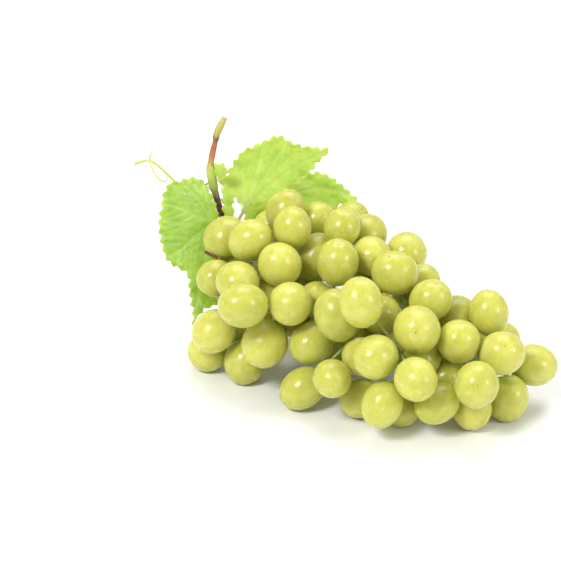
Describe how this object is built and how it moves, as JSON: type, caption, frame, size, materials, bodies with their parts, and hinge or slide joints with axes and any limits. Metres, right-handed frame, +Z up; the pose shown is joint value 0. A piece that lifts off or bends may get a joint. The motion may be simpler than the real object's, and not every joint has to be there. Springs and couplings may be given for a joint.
{
  "type": "bunch of grapes",
  "caption": "Bunch of pale green grapes lying on its side, on its branched stalk, with a piece of cane, serrated leaves and a tendril.",
  "frame": {"origin": "middle of the bounding box on the table, under the bunch", "axes": "+X along the bunch from its stalk to its tip, +Y to its back, +Z up from the table"},
  "size_m": [0.216, 0.1628, 0.1213],
  "materials": {
    "berry_skin": "waxy skin, satin gloss",
    "stalk_bark": "green woody stalk, dull",
    "cane_bark": "reddish brown bark, satin",
    "leaf_green": "thin leaf, satin"
  },
  "bodies": {
    "root": {"berry_01": "berry_skin", "berry_02": "berry_skin", "berry_03": "berry_skin", "berry_04": "berry_skin", "berry_05": "berry_skin", "berry_06": "berry_skin", "berry_07": "berry_skin", "berry_08": "berry_skin", "berry_09": "berry_skin", "berry_10": "berry_skin", "berry_11": "berry_skin", "berry_12": "berry_skin", "berry_13": "berry_skin", "berry_14": "berry_skin", "berry_15": "berry_skin", "berry_16": "berry_skin", "berry_17": "berry_skin", "berry_18": "berry_skin", "berry_19": "berry_skin", "berry_20": "berry_skin", "berry_21": "berry_skin", "berry_22": "berry_skin", "berry_23": "berry_skin", "berry_24": "berry_skin", "berry_25": "berry_skin", "berry_26": "berry_skin", "berry_27": "berry_skin", "berry_28": "berry_skin", "berry_29": "berry_skin", "berry_30": "berry_skin", "berry_31": "berry_skin", "berry_32": "berry_skin", "berry_33": "berry_skin", "berry_34": "berry_skin", "berry_35": "berry_skin", "berry_36": "berry_skin", "berry_37": "berry_skin", "berry_38": "berry_skin", "berry_39": "berry_skin", "berry_40": "berry_skin", "berry_41": "berry_skin", "inner_berries_01": "berry_skin", "inner_berries_02": "berry_skin", "inner_berries_03": "berry_skin", "inner_berries_04": "berry_skin", "inner_berries_05": "berry_skin", "inner_berries_06": "berry_skin", "inner_berries_07": "berry_skin", "inner_berries_08": "berry_skin", "inner_berries_09": "berry_skin", "inner_berries_10": "berry_skin", "inner_berries_11": "berry_skin", "bunch_stalk": "stalk_bark", "cane": "cane_bark", "leaf_left": "leaf_green", "leaf_back": "leaf_green", "leaf_right": "leaf_green", "tendril": "leaf_green", "leaf_young": "leaf_green"}
  },
  "joints": []
}
